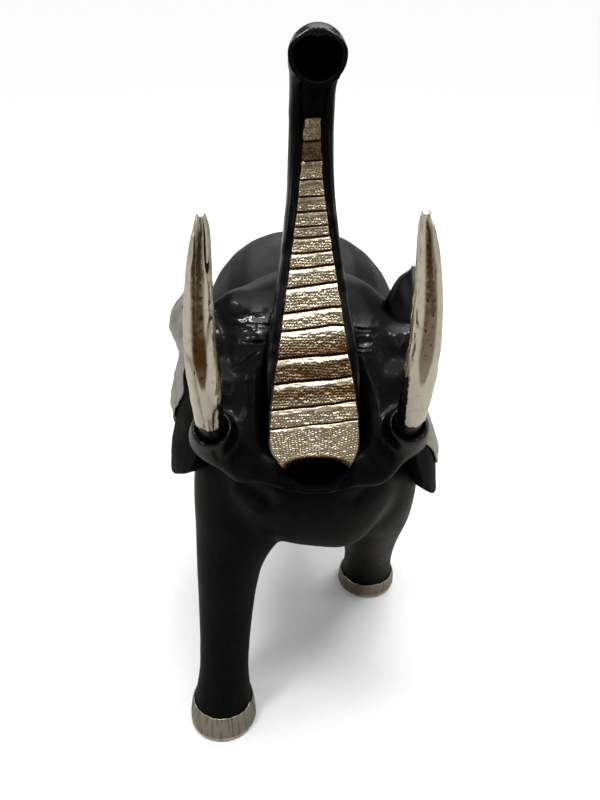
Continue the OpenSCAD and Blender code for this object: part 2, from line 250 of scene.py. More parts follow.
def remeshed(obj, voxel):
    step = obj.modifiers.new("remesh", "REMESH")
    step.mode = "VOXEL"
    step.voxel_size = voxel * MM
    applied(obj)


def thickened(obj, thickness, middle):
    """A sheet made solid, on its side towards middle, which is a point or a point for each of its own."""
    outward = ((read(obj)[0] - middle) * normals(obj)).sum() > 0
    step = obj.modifiers.new("thickness", "SOLIDIFY")
    step.thickness = thickness * MM
    step.offset = -1 if outward else 1
    applied(obj)


def grid_object(name, points, keep=None):
    """A mesh of quads through a table of points whose rows are closed, and which of the points it uses.
    keep says which quads are made."""
    rows, cols = points.shape[:2]
    j, i = np.meshgrid(np.arange(rows - 1), np.arange(cols), indexing="ij")
    right = (i + 1) % cols
    quads = np.stack([j * cols + i, j * cols + right, (j + 1) * cols + right, (j + 1) * cols + i], -1)
    quads = quads[keep] if keep is not None else quads.reshape(-1, 4)
    mesh = bpy.data.meshes.new(name)
    used, index = np.unique(quads, return_inverse=True)
    mesh.from_pydata((points.reshape(-1, 3)[used] * MM).tolist(), [], index.reshape(-1, 4).tolist())
    mesh.validate()
    return new_object(name, mesh), used


def capped(obj, above=-math.inf):
    """Closes a mesh's open rings, or only those above a height in mm."""
    bm = bmesh.new()
    bm.from_mesh(obj.data)
    rims = [e for e in bm.edges if e.is_boundary and e.verts[0].co.z > above * MM]
    bmesh.ops.triangle_fill(bm, use_beauty=True, edges=rims)
    bmesh.ops.recalc_face_normals(bm, faces=bm.faces)
    bm.to_mesh(obj.data)
    bm.free()


def finer(obj, inside):
    """Splits once more the faces for which inside, a function of their middles in mm, is true."""
    bm = bmesh.new()
    bm.from_mesh(obj.data)
    middles = np.array([f.calc_center_median() for f in bm.faces]) / MM
    chosen = inside(middles)
    edges = {e for f, c in zip(bm.faces, chosen) if c for e in f.edges}
    bmesh.ops.subdivide_edges(bm, edges=list(edges), cuts=1, use_grid_fill=True)
    bm.to_mesh(obj.data)
    bm.free()


def finished(obj, material, slot, *nodes):
    """Puts a piece in its place: its material, its body and the CAD nodes that it stands for."""
    obj.data.materials.clear()
    obj.data.materials.append(material)
    obj.data.polygons.foreach_set("use_smooth", [True] * len(obj.data.polygons))
    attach(obj, "root")
    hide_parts(*nodes)


# ---------- cross-sections of the CAD solids ----------


def section(co, edges, origin, direction, reach=30):
    """The points where a mesh's edges cross a plane, no further than reach from its origin."""
    d = (co - origin) @ direction
    a, b = edges.T
    crossing = (d[a] > 0) != (d[b] > 0)
    a, b = a[crossing], b[crossing]
    t = (d[a] / (d[a] - d[b]))[:, None]
    points = co[a] + t * (co[b] - co[a])
    return points[length(points - origin) < reach]


def loft_of(node, guide, rings, sides, soft, hollow=0.0):
    """Centres, axes and radii of a CAD solid's sections, along a guide curve in the Y-Z plane.
    Points nearer the middle than hollow are a bore's, and are left out."""
    co, edges = read(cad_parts[node])
    path = curve(guide, rings)
    tangent = unit(np.gradient(path, axis=0))
    back = np.stack([np.zeros(rings), tangent[:, 2], -tangent[:, 1]], axis=1)
    angles = np.arange(sides) * 2 * np.pi / sides
    centres = []
    radii = []
    for k in range(rings):
        points = section(co, edges, path[k], tangent[k])
        points = points[length(points - path[k]) > hollow]
        x, w = points @ ACROSS, (points - path[k]) @ back[k]
        middle = np.array([mid(x), mid(w)])
        angle = np.arctan2(w - middle[1], x - middle[0]) % (2 * np.pi)
        radius = np.hypot(x - middle[0], w - middle[1])
        order = np.argsort(angle)
        radii.append(np.interp(angles, angle[order], radius[order], period=2 * np.pi))
        centres.append(path[k] * [0, 1, 1] + middle[0] * ACROSS + middle[1] * back[k])
    return blur(np.array(centres), soft), back, blur(np.array(radii), soft), angles


def ring_points(centres, back, radii, angles):
    x = radii * np.cos(angles)
    w = radii * np.sin(angles)
    return centres[:, None] + x[..., None] * ACROSS + w[..., None] * back[:, None]


# ---------- materials ----------


class Shader:
    """A material's node tree, with short ways to add and join nodes."""

    def __init__(self, name):
        self.material = bpy.data.materials.new(name)
        self.material.use_nodes = True
        self.nodes = self.material.node_tree.nodes
        self.links = self.material.node_tree.links
        self.surface = self.nodes["Principled BSDF"]
        self.place = self.add("ShaderNodeTexCoord").outputs["Object"]

    def add(self, kind, **settings):
        node = self.nodes.new(kind)
        for key, value in settings.items():
            setattr(node, key, value)
        return node

    def put(self, socket, value):
        """Sets a socket to a value, or joins an output to it."""
        if isinstance(value, bpy.types.NodeSocket):
            self.links.new(value, socket)
        else:
            socket.default_value = value

    def fill(self, node, **values):
        """Puts values or outputs into a node's sockets, whose names have _ for a space."""
        for name, value in values.items():
            self.put(node.inputs[name.replace("_", " ")], value)
        return node

    def noise(self, size, detail=3.0, stretch=(1, 1, 1), roughness=0.55):
        """Noise with lumps of about the given size in mm."""
        place = self.fill(self.add("ShaderNodeMapping"), Vector=self.place, Scale=stretch).outputs["Vector"]
        node = self.fill(self.add("ShaderNodeTexNoise"), Vector=place, Scale=1 / (size * MM))
        return self.fill(node, Detail=detail, Roughness=roughness).outputs["Fac"]

    def ramp(self, value, low, high, start=0.0, end=1.0):
        """Maps low..high to start..end, held beyond."""
        node = self.fill(self.add("ShaderNodeMapRange"), Value=value, From_Min=low, From_Max=high)
        return self.fill(node, To_Min=start, To_Max=end).outputs["Result"]

    def mix(self, share, a, b):
        """A colour between a and b."""
        node = self.add("ShaderNodeMix", data_type="RGBA")
        self.put(node.inputs["Factor"], share)
        for socket, colour in zip((node.inputs[6], node.inputs[7]), (a, b)):
            self.put(socket, colour if isinstance(colour, bpy.types.NodeSocket) else (*colour, 1))
        return node.outputs[2]

    def sum(self, a, b, operation="ADD"):
        node = self.add("ShaderNodeMath", operation=operation)
        self.put(node.inputs[0], a)
        self.put(node.inputs[1], b)
        return node.outputs[0]

    def attribute(self, name):
        return self.add("ShaderNodeAttribute", attribute_name=name).outputs["Fac"]

    def bump(self, height, depth, **after):
        """Bumps depth mm high where height goes from 0 to 1, added to any others given as Normal."""
        node = self.fill(self.add("ShaderNodeBump"), Strength=1.0, Distance=depth * MM, Height=height)
        return self.fill(node, **after).outputs["Normal"]

    def done(self, **sockets):
        self.fill(self.surface, **sockets)
        return self.material

    def matt(self, colour):
        return self.done(Base_Color=colour, Roughness=1.0, Specular_IOR_Level=0.0)


# The third colour is painted shade, for pits and recesses where shade falls.
LACQUER, DUST, PAINTED_SHADE_BLACK = (0.0013, 0.0012, 0.0013), (0.0048, 0.0043, 0.0037), (0.0004, 0.0004, 0.0004)


def lacquer(name, dull=0.0):
    """Black lacquer over hand-rubbed wood: satin, glossier where it has pooled, dusty in places.
    The point attribute wet makes it glossier on worn skin folds, and another point attribute paints shade:
    dead black and matt in pits and recesses, where shade falls."""
    s = Shader(name)
    pools = s.noise(14, detail=2)
    grain = s.noise(1.6, detail=4)
    rub = s.noise(2.5, stretch=(1, 0.25, 1))
    dust = s.ramp(s.noise(5, detail=5, roughness=0.7), 0.52, 0.78)
    wet = s.attribute("wet")
    # painted shade: a point attribute that turns the lacquer dead black and matt where shade falls
    painted_shade = s.attribute("painted_shade")
    base = s.mix(painted_shade, s.mix(dust, LACQUER, DUST), PAINTED_SHADE_BLACK)
    gloss = s.ramp(pools, 0.3, 0.7, 0.3 + dull, 0.42 + dull)
    gloss = s.sum(gloss, s.ramp(grain, 0.35, 0.7, -0.03, 0.05))
    gloss = s.sum(gloss, s.sum(wet, -0.16, "MULTIPLY"))
    gloss = s.sum(gloss, s.sum(painted_shade, 0.5, "MULTIPLY"))
    crackle = s.noise(0.9, detail=4, roughness=0.65)
    fine = s.bump(s.sum(crackle, wet, "MULTIPLY"), 0.22, Normal=s.bump(grain, 0.04))
    return s.done(
        Base_Color=base, Roughness=gloss, Normal=s.bump(rub, 0.06, Normal=fine), Specular_IOR_Level=0.06,
        Coat_Weight=s.ramp(wet, 0, 1, 0.02, 0.8), Coat_Roughness=0.12,
    )


def silver(name, bright, tarnish_and_shade_colour, roughness, grain_size, relief, brown=0.35):
    """Thin silver sheet: bright on its high places, brown in the hollows and in painted shade and
    reflection, which a point attribute gives.
    """
    s = Shader(name)
    cloud = s.noise(9, detail=4)
    speck = s.noise(grain_size)
    hollow = s.attribute("hollow")
    stain_and_painted_shade = s.sum(s.ramp(cloud, 0.5, 0.8, 0, brown), s.ramp(speck, 0.55, 0.75, 0, 0.25))
    stain_and_painted_shade = s.ramp(s.sum(stain_and_painted_shade, hollow), 0, 1)
    base = s.mix(stain_and_painted_shade, bright, tarnish_and_shade_colour)
    gloss = s.sum(s.ramp(speck, 0.3, 0.7, roughness - 0.07, roughness + 0.09), s.ramp(hollow, 0, 1, 0, 0.18))
    return s.done(Base_Color=base, Metallic=1.0, Roughness=gloss, Normal=s.bump(speck, relief))


BLACK = lacquer("black_lacquer", dull=-0.05)
BLACK_SATIN = lacquer("black_lacquer_satin", dull=0.04)
STRIP_SILVER = silver("embossed_silver", (0.7, 0.61, 0.44), (0.085, 0.036, 0.009), 0.27, 1.0, 0.07)
TUSK_SILVER = silver("tusk_foil", (0.65, 0.61, 0.51), (0.09, 0.042, 0.012), 0.15, 2.2, 0.04, brown=0.12)
EAR_SILVER = silver("ear_sheet", (0.42, 0.41, 0.375), (0.2, 0.17, 0.13), 0.42, 1.1, 0.16)
FOOT_SILVER = silver("foot_band", (0.37, 0.34, 0.28), (0.08, 0.06, 0.04), 0.34, 0.8, 0.06, brown=0.3)


# ---------- the carved block ----------

BODY_VOXEL = 0.8
FACE_X, FACE_Y, FACE_Z = 48, -36, 112  # the face, forward of FACE_Y and above FACE_Z, is split finer
CUPS = np.array([(-34.0, -78.4, 161.5), (33.6, -78.4, 161.5)])
CUP_REACH = 9.5
MOUTH = np.array([MIDDLE_X, -86.0, 146.0])
MOUTH_LOW, MOUTH_HIGH, MOUTH_BACK = 140.5, 151.5, -74
MOUTH_DEPTH = 5.0
EYE_RADII = (4, 3.4, 2.0)

# How the face and the chest are moved from the CAD shape: centre, radii and move of each place, in mm
MOVES = [
    # full jowls either side of the chin
    ((-27, -74, 141), (9, 9, 7), (0.3, -1.2, -3.8)),
    ((25, -78, 142), (10, 9, 6), (-0.5, -1.4, -3.4)),
    # brows and temples, unlike on the two sides
    ((36, -50, 185), (8, 8, 6), (1.2, -1.2, 1.2)),
    ((-31, -42, 188), (8, 10, 7), (-2.2, 0, 2.6)),
    ((38, -35, 187), (8, 9, 8), (0, 1.5, -6.0)),
    ((-33, -37, 187), (7, 9, 8), (-2.8, -0.5, 2.0)),
    ((-25, -38, 191), (7, 9, 6), (-0.8, 0, 3.2)),
    # a lower chest on the left, then the lower lip and its two corners
    ((19, -62, 98), (14, 16, 11), (0, 0, -5.0)),
    ((1, -91, 139), (9, 6, 4.5), (1.2, 1.0, 1.8)),
    ((-8, -88, 143), (4, 4.5, 4), (2.6, 1.8, 0)),
    ((11, -88, 143), (4, 4.5, 4), (-2.6, 1.8, 0)),
]

# Lines cut into the skin: points, width, depth, and the height of the lips beside the cut
SLITS = [
    ([(-25.5, -46, 185.3), (-20, -48.5, 185.8), (-13.5, -50, 186)], 0.5, 1.1, 0.3),
    ([(-24.5, -52, 180.6), (-20, -54, 181.4), (-15.5, -55, 182)], 0.5, 1.1, 0.3),
    ([(16.5, -51.5, 185), (20, -51.5, 184.4), (23.5, -50, 183.3)], 0.45, 0.9, 0.3),
    ([(17, -57.5, 180), (20, -57.5, 179.8), (22.5, -56.5, 179.4)], 0.45, 0.8, 0.3),
]
FOLDS = [
    ([(-28, -58, 172), (-23, -58.5, 175.5), (-17.5, -56.5, 179.5)], 0.55, 0.3, 0.18),
    ([(-21, -62, 172.5), (-20.8, -66, 168), (-20, -69.5, 164)], 0.8, 0.2, 0.4),
    ([(18.5, -60, 177), (21.5, -64, 172), (24, -67, 167)], 0.6, 0.3, 0.2),
    ([(-26, -41, 188.5), (-20, -42.5, 189.5), (-14, -43.5, 190.5)], 1.4, 0.3, 0.2),
]
JAW_LINES = [
    ([(-43, -56, 141), (-41, -60, 136), (-38, -61, 130)], 0.9, 0.5, 0.2),
    ([(-45, -53, 140), (-43, -57, 134.5), (-40, -58.5, 129)], 0.9, 0.4, 0.2),
    ([(-46, -50, 138), (-44.5, -54, 132), (-42, -55, 127)], 0.9, 0.3, 0.15),
]
NECK_HOLLOW = ([(-27, -59, 128), (-20, -64, 123.5), (-12, -67.5, 118)], 4.0, 1.5, 0.4)


def groove(co, line, seed=0):
    """The height that a cut gives the skin: down along its line, with a low lip on either side."""
    path, width, depth, lip = line
    out = np.zeros(len(co))
    low, high = np.min(path, axis=0) - 4 * width, np.max(path, axis=0) + 4 * width
    near = ((co > low) & (co < high)).all(axis=1)
    p = co[near]
    shake = np.stack([ripple(p, 5, seed + i) for i in range(3)], axis=1)
    d, t = along(p + 0.3 * width * shake, curve(path, 12))
    fade = ease(t, 0, 0.2) * fall(t, 0.75, 1) + 0.25 * ((t > 0) & (t < 1))
    out[near] = np.minimum(fade, 1) * (lip * hump(d - 1.9 * width, width) - depth * hump(d, width))
    return out


def mirrored_lines(lines):
    return lines + [([(2 * MIDDLE_X - x, y, z) for x, y, z in path], *sizes) for path, *sizes in lines]


def blob(co, centre, radii):
    return np.exp(-(((co - centre) / radii) ** 2).sum(axis=1))


def round_cups(co):
    """1 in the middle of each tusk's cup, falling away beyond its brim."""
    return np.max([hump(length(co - cup), CUP_REACH) for cup in CUPS], axis=0)


LIP_CENTRE = np.array([1.6, -82.2])
LIP_RADII = np.array([11.6, 9.0])


def mouth_reach(co):
    """0 in the middle of the mouth's opening, 1 on its lip, measured level over the lower lip."""
    flat = (co[:, :2] - LIP_CENTRE) / LIP_RADII
    flat[:, 1] = np.minimum(flat[:, 1], 0)
    return length(flat)


def make_body():
    """Torso, neck, head and legs in one: smooth over the torso and legs, cut with folds about the face."""
    seat_top = (0, -60, 202)
    obj = joined("elephant_body", ["body"], [("trunk", seat_top, (0, 0, -1))])
    remeshed(obj, BODY_VOXEL)
    co, edges = read(obj)
    hold = np.maximum(round_cups(co), 0.9 * blob(co, MOUTH, (17, 9, 8)))
    hold = np.maximum(hold, hump(co[:, 2], 2.5))
    co = fair(co, edges, 60, np.clip(1 - 1.15 * hold, 0.02, 1))
    joins = 0.9 * ease(co[:, 2], 62, 80) * fall(co[:, 2], 104, 122)
    joins = np.maximum(joins, 0.8 * blob(co, (1, -60, 118), (34, 16, 14)))
    co = fair(co, edges, 90, np.clip(joins - hold, 0, 1))
    # the trunk's root runs out into the upper lip without a step
    root = sum(blob(co, (MIDDLE_X + side * 17.5, -79, 150.5), (7, 9, 8)) for side in (RIGHT, LEFT))
    root += sum(blob(co, (MIDDLE_X + side * 18.5, -68, 166), (3.2, 9, 12)) for side in (RIGHT, LEFT))
    co = soften(co, edges, 130, np.clip(1.4 * root, 0, 1))
    co[:, 2] = np.maximum(co[:, 2], 0)
    write(obj, co)

    finer(obj, lambda m: (m[:, 1] < FACE_Y) & (m[:, 2] > FACE_Z) & (np.abs(m[:, 0]) < FACE_X))
    co, edges = read(obj)
    # the mouth opens right up to the corners of the upper lip
    reach = mouth_reach(co)
    opening = (reach < 1) & (co[:, 2] > MOUTH_LOW) & (co[:, 2] < MOUTH_HIGH) & (co[:, 1] < MOUTH_BACK)
    sunk = np.where(opening, MOUTH_DEPTH * np.sqrt(np.clip(1 - reach**2, 0, 1)), 0)
    co += sunk[:, None] * np.array([0, 0.75, -0.66])
    for centre, size, move in MOVES:
        co += blob(co, centre, size)[:, None] * np.array(move)
    co = soften(co, edges, 40, 0.9 * blob(co, (39, -41, 185), (8, 9, 8)))
    write(obj, co)
    n = normals(obj)
    head = ease(-co[:, 1], 34, 40) * ease(co[:, 2], 112, 122)
    height = sum(groove(co, line, 10 * i) for i, line in enumerate(SLITS + FOLDS))
    height += sum(groove(co, line, 5 * i) for i, line in enumerate(mirrored_lines(JAW_LINES)))
    height += groove(co, NECK_HOLLOW) + 0.5 * groove(co, mirrored_lines([NECK_HOLLOW])[1])
    # the wrinkled, glossy skin between the trunk and the eyes
    wet = np.zeros(len(co))
    for centre, size in (((-19, -48.5, 185.5), (8, 8, 7)), ((20, -54, 182), (6, 7, 6))):
        patch = blob(co, centre, size)
        lines = rough(co @ np.array([[1, 0, 0], [0, 1, 0], [0.35, 0, 1]]), (4.5, 2.2, 1.5), 40)
        height += patch * (0.2 * lines + 0.12 * ripple(co, 1.1, 44))
        wet = np.maximum(wet, 1.1 * patch * ease(ripple(co, (3, 3, 2), 47), -0.6, 0.3))
    wet = np.maximum(wet, 0.8 * round_cups(co))
    for side in (RIGHT, LEFT):
        x = side * 36.0
        # a hollow under the brow, with the eyeball in it and a lid above and below
        height -= 1.9 * blob(co, (x - side * 3, -55, 175.5), (8, 7, 4.5))
        height += blob(co, (x + side * 1.5, -49, 182.5), (6, 7, 3))
        wet = np.maximum(wet, 0.9 * blob(co, (x, -50, 181.5), (5, 5, 3)))
        eye = np.array([x + side * 4.2, -47.0, 171.0])
        d = length((co - eye) / EYE_RADII)
        height += 1.1 * hump(d, 0.9) - 0.8 * hump(d - 1.35, 0.28) + 0.7 * hump(d - 1.9, 0.35)
    height += head * 0.08 * rough(co, 9, 60, 2)
    height += 0.08 * ripple(co, (16, 16, 22), 61)
    co += n * height[:, None]
    co[:, 2] = np.maximum(co[:, 2], 0)
    write(obj, co)
    # painted shade: the mouth's opening and the inner face of the lower lip are painted dead black and matt
    inside = (reach < 1.2) & (co[:, 2] > 134) & (co[:, 2] < 150) & (co[:, 1] < -58) & (n[:, 2] > -0.6)
    paint(obj, "painted_shade", inside.astype(float))
    paint(obj, "wet", wet)
    finished(obj, BLACK_SATIN, "lacquered_wood", "body", "trunk_dowel")


# ---------- the trunk ----------

TRUNK_GUIDE = [
    (0, -66.4, 148.5), (0, -60.4, 166.5), (0, -54.9, 181.7), (0, -49.7, 197.3), (0, -44.6, 213.1),
    (0, -41.9, 230.4), (0, -42, 247.6), (0, -45.7, 261.3), (0, -53.9, 271), (0, -65.4, 276.8),
]
TRUNK_RINGS, TRUNK_SIDES = 210, 168
TRUNK_STEP = 0.75  # about how many mm apart the rings are
TIP_RINGS = 44
TIP_RADIUS = 7.5


def make_trunk():
    """The trunk with its ridges, lofted finely, and ending in a rounded rim round the nostrils."""
    centres, back, radii, angles = loft_of("trunk", TRUNK_GUIDE, TRUNK_RINGS, TRUNK_SIDES, 3.0, hollow=4.4)
    up = np.sin(angles)  # 1 at the back of the trunk, -1 at its front
    # on to the rim, turning level, and back down inside it
    u = np.linspace(0, 1, TIP_RINGS + 1)[1:]
    end, step = centres[-1], back[-1]
    forward = np.array([0.0, -1.0, 0.16])
    out_length, wall, depth = 13.4, 1.25, 13.0
    reach = np.where(u < 0.5, u / 0.5, 1) * out_length - np.where(u > 0.6, (u - 0.6) / 0.4, 0) * depth
    flare = 1 + 0.05 * np.sin(np.pi * np.clip(u / 0.5, 0, 1) * 0.6) + 0.04 * ease(u, 0.3, 0.5)
    turn = ease(u, 0.5, 0.6)
    tip_centres = end + reach[:, None] * forward + 0.35 * np.sin(np.pi * turn)[:, None] * forward
    blend = ease(u, 0.0, 0.42)[:, None]
    tip = radii[-1] * (1 - blend) + TIP_RADIUS * blend
    tip = tip * flare[:, None] - wall * turn[:, None] - 3.2 * ease(u, 0.75, 1)[:, None]
    finger = hump(np.degrees(np.abs(angles - np.pi / 2)), 22)
    tip -= 1.5 * ease(up, 0.1, 0.9) * ease(u, 0.42, 0.5)[:, None]
    tip -= 1.3 * finger * ease(u, 0.52, 0.62)[:, None] * fall(u, 0.72, 0.85)[:, None]
    centres = np.vstack([centres, tip_centres])
    level = np.cross(ACROSS, forward)
    level /= np.linalg.norm(level)
    tip_back = step + ease(u, 0, 0.5)[:, None] * (-level * np.sign(-level @ step) - step)
    back = np.vstack([back, unit(tip_back)])
    radii = np.vstack([radii, tip])
    points = ring_points(centres, back, radii, angles)
    flat = points.reshape(-1, 3)
    normal = unit((points - centres[:, None]).reshape(-1, 3))

    def each_ring(values):
        return np.tile(values, len(centres))

    def at_tip(values):
        return np.repeat(np.r_[np.zeros(TRUNK_RINGS), values], TRUNK_SIDES)

    rear = each_ring(ease(up, -0.2, 0.5))
    along_trunk = np.repeat(np.arange(len(centres)) * TRUNK_STEP, TRUNK_SIDES)
    rings = np.sin(along_trunk / 1.05 + 1.2 * ripple(flat, 14, 3)) ** 3 * ease(flat[:, 2], 196, 206)
    outer = np.repeat(np.r_[np.ones(TRUNK_RINGS), fall(u, 0.35, 0.5)], TRUNK_SIDES)
    front = each_ring(ease(-up, 0.75, 0.9))
    rooted = 0.35 * fall(flat[:, 2], 186, 198) * ease(flat[:, 2], 170, 180) * (1 - front)
    rooted -= 1.6 * fall(flat[:, 2], 163, 178) + 2.5 * fall(flat[:, 2], 148, 155)
    height = outer * (0.16 * rear * rings + 0.1 * (1 - front) * rough(flat, 6, 5, 2)) + rooted
    wrinkles = each_ring(finger * np.cos(22 * angles)) * at_tip(ease(u, 0.5, 0.56) * fall(u, 0.68, 0.8))
    flat = flat + normal * (height + 0.3 * wrinkles)[:, None]
    obj, _ = grid_object("trunk_wood", flat.reshape(points.shape))
    # painted shade: the channel above the strip, the lower side of the tip's rim and the nostrils are
    # painted dead black and matt, and the ridges beside the strip are made glossy
    below = each_ring(ease(-up, 0.1, 0.5)) * at_tip(ease(u, 0.45, 0.55))
    channel = each_ring(ease(-up, 0.55, 0.75)) * ease(flat[:, 2], 250, 256)
    paint(obj, "painted_shade", np.maximum(np.maximum(channel, below), at_tip(ease(u, 0.66, 0.7))))
    ridge = each_ring(ease(-up, 0.1, 0.4)) * fall(flat[:, 2], 225, 245)
    brim = each_ring(ease(up, 0.1, 0.6)) * at_tip(ease(u, 0.4, 0.48) * fall(u, 0.6, 0.66))
    paint(obj, "wet", np.maximum(0.7 * ridge * ease(ripple(flat, (3, 3, 4), 77), -0.5, 0.5), 0.9 * brim))
    capped(obj)
    finished(obj, BLACK, "lacquered_wood", "trunk")


# ---------- the embossed strip ----------

# Heights in mm where one plate of the strip ends and the next begins, and how proud each plate is
STRIP_STEPS = [
    162.4, 168.4, 176.2, 183.6, 192.2, 197.7, 205.2, 210.7, 215.2, 219.9, 223.4, 228.1, 232.9, 238.2, 244.3,
    251.0,
]
STRIP_RELIEF = [0.7, 0.8, 1.0, 1.1, 1.05, 1.0, 0.85, 0.75, 0.6, 0.45, 0.45, 0.45, 0.4, 0.35, 0.45, 0.4]
STRIP_FOOT = 147.0
# Half the strip's width at heights near its foot
STRIP_HALF = [
    (147, 10.9), (148.5, 12.4), (151, 14.3), (154, 15.4), (157, 15.7), (162.4, 15.4), (168.4, 14.7),
    (176.2, 13.6), (184, 12.35),
]
STRIP_ROWS, STRIP_COLS = 690, 200
STRIP_SLANT = 0.085
STRIP_TONGUE = 3.2  # how far it runs on above the CAD strip
ARCH_RISE = 3.4


def punched(x, s, pitch, seed, jitter, slant=0.0):
    """From 0 to 1, how near each place (x, s) is to the nearest punch mark, in rows of marks."""
    wide, tall = pitch
    row = np.floor(s / tall)
    best = np.full(x.shape, 9.0)
    for dr in (-1, 0, 1):
        r = row + dr
        shift = 0.5 * (r % 2) + slant * r
        col = np.floor(x / wide - shift)
        for dc in (-1, 0, 1):
            c = col + dc
            key = np.stack([c, r, np.full(c.shape, seed)], -1).reshape(-1, 3)
            jx = ripple(key * 3.7, 1.0, seed).reshape(x.shape)
            jy = ripple(key * 5.3, 1.0, seed + 9).reshape(x.shape)
            dx = x / wide - (c + shift + 0.5 + jitter * jx)
            dy = s / tall - (r + 0.5 + jitter * jy)
            best = np.minimum(best, np.hypot(dx, dy))
    return hump(best, 0.3)


def over_sheet(x, z, size, seed, noise=ripple):
    """Noise over a flat sheet, at tables of places x across it and z up it."""
    return noise(np.stack([x, 0 * x, z], -1).reshape(-1, 3), size, seed).reshape(x.shape)


def strip_outline():
    """A row of heights up the strip, with its half width, middle and front at each."""
    co, edges = read(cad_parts["trunk_strip"])
    base, top = co[:, 2].min() + 0.5, co[:, 2].max() - 0.6
    levels = np.linspace(base, top, 120)
    cuts = [section(co, edges, np.array([0, -60, z]), UP, 60) for z in levels]
    half = blur(np.array([np.ptp(p[:, 0]) / 2 for p in cuts]), 4)
    middle = blur(np.array([mid(p[:, 0]) for p in cuts]), 4)
    front = blur(np.array([p[:, 1].min() for p in cuts]), 4)
    # below the CAD strip's own end the sheet follows the lip down to two corners beside the mouth
    levels = np.r_[STRIP_FOOT - 1, levels]
    front = np.r_[front[0] - 0.33 * (base - STRIP_FOOT + 1), front]
    middle = np.r_[middle[0] + 1.1, middle]
    half = np.r_[half[0], half]
    # and at its upper end it runs on a little further up the channel
    slope = (front[-1] - front[-9]) / (levels[-1] - levels[-9])
    top += STRIP_TONGUE
    levels, half, middle = np.r_[levels, top], np.r_[half, half[-1] - 0.1], np.r_[middle, middle[-1]]
    front = np.r_[front, front[-1] + (slope - 0.12) * STRIP_TONGUE]
    wanted = np.array(STRIP_HALF)
    share = ease(levels, wanted[-1, 0] - 4, wanted[-1, 0])
    return levels, share * half + (1 - share) * np.interp(levels, *wanted.T), middle, front


